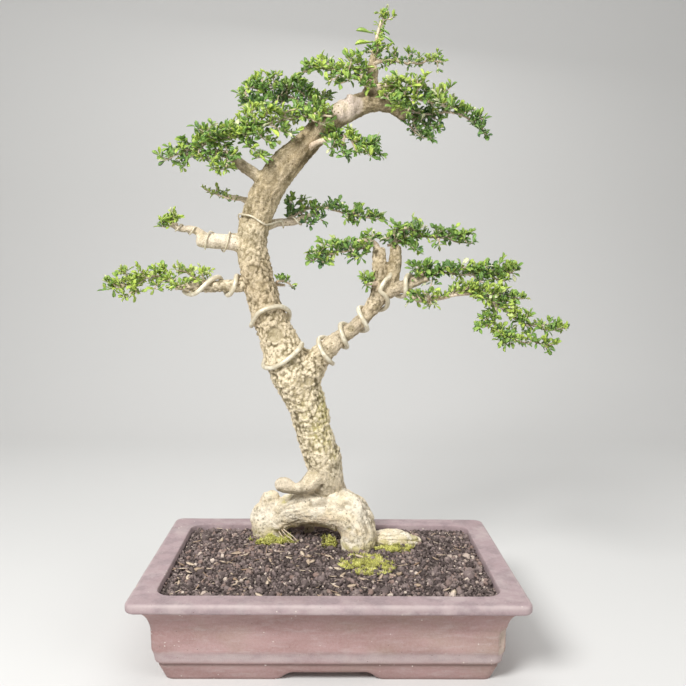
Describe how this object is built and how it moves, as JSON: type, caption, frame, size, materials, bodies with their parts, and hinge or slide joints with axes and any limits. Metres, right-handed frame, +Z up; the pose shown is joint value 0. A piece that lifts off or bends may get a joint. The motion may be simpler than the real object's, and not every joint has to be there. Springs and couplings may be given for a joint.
{
  "type": "bonsai tree in a pot",
  "caption": "Trained bonsai with a leaning bare trunk and thin leaf pads, rooted over an arched stone in a shallow rectangular stoneware pot.",
  "frame": {"origin": "on the ground under the middle of the plant's full spread, level with the undersides of the pot's feet", "axes": "+Z up, +X along the pot's long side towards the lower right branch, -Y out of the pot's front"},
  "size_m": [0.4938, 0.246, 0.6367],
  "materials": {
    "stoneware": "matte",
    "potting_soil": "matte",
    "black_plastic_mesh": "matte",
    "drain_wire": "satin",
    "training_wire": "satin",
    "limestone": "matte",
    "bark": "matte",
    "foliage": "satin",
    "moss": "matte"
  },
  "bodies": {
    "root": {"arch_stone": "limestone", "branch_wire_thick": "training_wire", "branch_wire_thin": "training_wire", "drain_mesh_left": "black_plastic_mesh", "drain_mesh_right": "black_plastic_mesh", "flat_stone": "limestone", "leaves_back_left": "foliage", "leaves_back_right": "foliage", "leaves_branch_sprig": "foliage", "leaves_cascade": "foliage", "leaves_cascade_low": "foliage", "leaves_crown_left_low": "foliage", "leaves_crown_left_top": "foliage", "leaves_crown_middle": "foliage", "leaves_crown_right_low": "foliage", "leaves_crown_right_top": "foliage", "leaves_crown_tip": "foliage", "leaves_crown_tip_right": "foliage", "leaves_crown_under": "foliage", "leaves_left_low": "foliage", "leaves_left_tip": "foliage", "leaves_right_low": "foliage", "leaves_right_top_left": "foliage", "leaves_right_top_right": "foliage", "leaves_right_under": "foliage", "leaves_trunk_sprig": "foliage", "mesh_wire_left": "drain_wire", "mesh_wire_right": "drain_wire", "moss_arch": "moss", "moss_front": "moss", "moss_left": "moss", "moss_side": "moss", "pot": "stoneware", "soil": "potting_soil", "tree_wood": "bark"}
  },
  "joints": []
}
